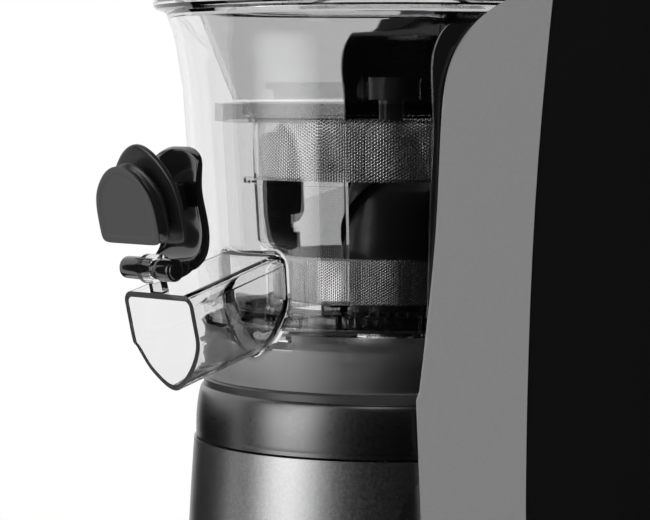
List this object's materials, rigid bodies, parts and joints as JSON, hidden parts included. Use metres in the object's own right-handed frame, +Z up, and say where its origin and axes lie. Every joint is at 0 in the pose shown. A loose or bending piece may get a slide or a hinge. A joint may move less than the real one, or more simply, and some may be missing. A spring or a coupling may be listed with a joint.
{
  "type": "cold press juicer",
  "caption": "Vertical cold press juicer: clear bowl with a capped juice spout on a metal motor base, slim column behind, tall feed chute with a hinged gate.",
  "frame": {"origin": "on the table under the bowl's axis, on the underside of the middle foot", "axes": "+Z up along the bowl's axis, -Y to the front where the knob is, +X to the side of the juice spout"},
  "size_m": [0.2063, 0.2488, 0.4472],
  "materials": {
    "housing_metal": "satin",
    "band_metal": "satin",
    "seat_grey": "satin",
    "side_metal": "matte anodised",
    "black_plastic": "satin",
    "base_plastic": "matte",
    "rubber": "matte",
    "screw_steel": "zinc plated",
    "bearing_steel": "polished",
    "core_steel": "laminated, varnished",
    "copper": "enamelled copper",
    "cast_alloy": "as cast",
    "gear_plastic": "moulded",
    "knob_black": "satin",
    "lens": "clear",
    "board_green": "lacquered",
    "capacitor_can": "bare",
    "clear_smoky": "clear, slightly smoky",
    "smoky": "translucent",
    "mesh_steel": "etched mesh",
    "auger_plastic": "moulded",
    "bowl_gears": "moulded",
    "silicone": "matte",
    "lever_grey": "satin",
    "bush": "low friction",
    "magnet": "nickel plated"
  },
  "bodies": {
    "base": {"lower_housing": "housing_metal", "upper_band": "band_metal", "seat_ring": "seat_grey", "side_panel_right": "side_metal", "side_panel_left": "side_metal", "column_front": "black_plastic", "back_cover": "black_plastic", "column_top": "black_plastic", "base_plate": "base_plastic", "rubber_feet": "rubber", "base_screws": "screw_steel", "motor_stator": "core_steel", "motor_windings": "copper", "motor_bracket": "cast_alloy", "motor_bearings": "bearing_steel", "gear_case": "gear_plastic", "gear_cover": "gear_plastic", "compound_pin": "screw_steel", "output_bearings": "bearing_steel", "shaft_seal": "silicone", "rotary_switch": "base_plastic", "indicator_lens": "lens", "control_board": "board_green", "motor_capacitor": "capacitor_can", "lock_sensor": "base_plastic", "cord_gland": "base_plastic"},
    "knob": {"control_knob": "knob_black"},
    "rotor": {"rotor_core": "core_steel", "motor_shaft": "screw_steel", "cooling_fan": "gear_plastic"},
    "compound": {"compound_gear": "gear_plastic"},
    "drive": {"output_gear": "gear_plastic", "output_shaft": "screw_steel"},
    "bowl": {"bowl": "clear_smoky", "bowl_seal": "silicone", "clean_plug": "silicone", "strainer_frame": "smoky", "upper_mesh": "mesh_steel", "lower_mesh": "mesh_steel", "idler_pin": "screw_steel"},
    "auger": {"auger": "auger_plastic", "auger_gear": "bowl_gears"},
    "idler": {"idler_gear": "bowl_gears"},
    "brush": {"brush_frame": "smoky", "wiper_blades": "silicone"},
    "lid": {"lid": "clear_smoky", "lid_bush": "bush", "lid_gasket": "silicone", "lid_magnet": "magnet", "feed_chute": "clear_smoky", "gate_pin": "screw_steel"},
    "cap": {"cap_lever": "lever_grey", "cap_plug": "silicone"},
    "gate": {"feed_gate": "clear_smoky"}
  },
  "joints": [
    {"name": "knob_turn", "type": "hinge", "parent": "base", "child": "knob", "pos_m": [0, -0.086, 0.06], "axis": [0, -1, 0], "range_deg": [-45, 45]},
    {"name": "rotor_spin", "type": "hinge", "parent": "base", "child": "rotor", "pos_m": [0, 0, 0.054], "axis": [0, 0, 1], "continuous": true},
    {"name": "compound_spin", "type": "hinge", "parent": "base", "child": "compound", "pos_m": [0, 0.036, 0.098], "axis": [0, 0, 1], "continuous": true},
    {"name": "drive_spin", "type": "hinge", "parent": "base", "child": "drive", "pos_m": [0, 0, 0.15], "axis": [0, 0, 1], "continuous": true},
    {"name": "bowl_lift", "type": "slide", "parent": "base", "child": "bowl", "axis": [0, 0, 1], "range_m": [0, 0.13]},
    {"name": "auger_spin", "type": "hinge", "parent": "bowl", "child": "auger", "pos_m": [0, 0, 0.22], "axis": [0, 0, 1], "continuous": true},
    {"name": "idler_spin", "type": "hinge", "parent": "bowl", "child": "idler", "pos_m": [0, 0.0375, 0.191], "axis": [0, 0, 1], "continuous": true},
    {"name": "brush_spin", "type": "hinge", "parent": "bowl", "child": "brush", "pos_m": [0, 0, 0.22], "axis": [0, 0, 1], "continuous": true},
    {"name": "lid_lift", "type": "slide", "parent": "bowl", "child": "lid", "axis": [0, 0, 1], "range_m": [0, 0.09]},
    {"name": "cap_hinge", "type": "hinge", "parent": "bowl", "child": "cap", "pos_m": [0.07254, -0.10555, 0.2143], "axis": [0.8241, 0.5664, 0], "range_deg": [0, 180]},
    {"name": "gate_hinge", "type": "hinge", "parent": "lid", "child": "gate", "pos_m": [0, 0.049, 0.4436], "axis": [-1, 0, 0], "range_deg": [0, 100]}
  ],
  "couplings": [
    {"joint": "compound_spin", "follows": "rotor_spin", "ratio": -0.2},
    {"joint": "drive_spin", "follows": "rotor_spin", "ratio": 0.04},
    {"joint": "auger_spin", "follows": "rotor_spin", "ratio": 0.04},
    {"joint": "idler_spin", "follows": "rotor_spin", "ratio": -0.026667},
    {"joint": "brush_spin", "follows": "rotor_spin", "ratio": -0.01}
  ]
}
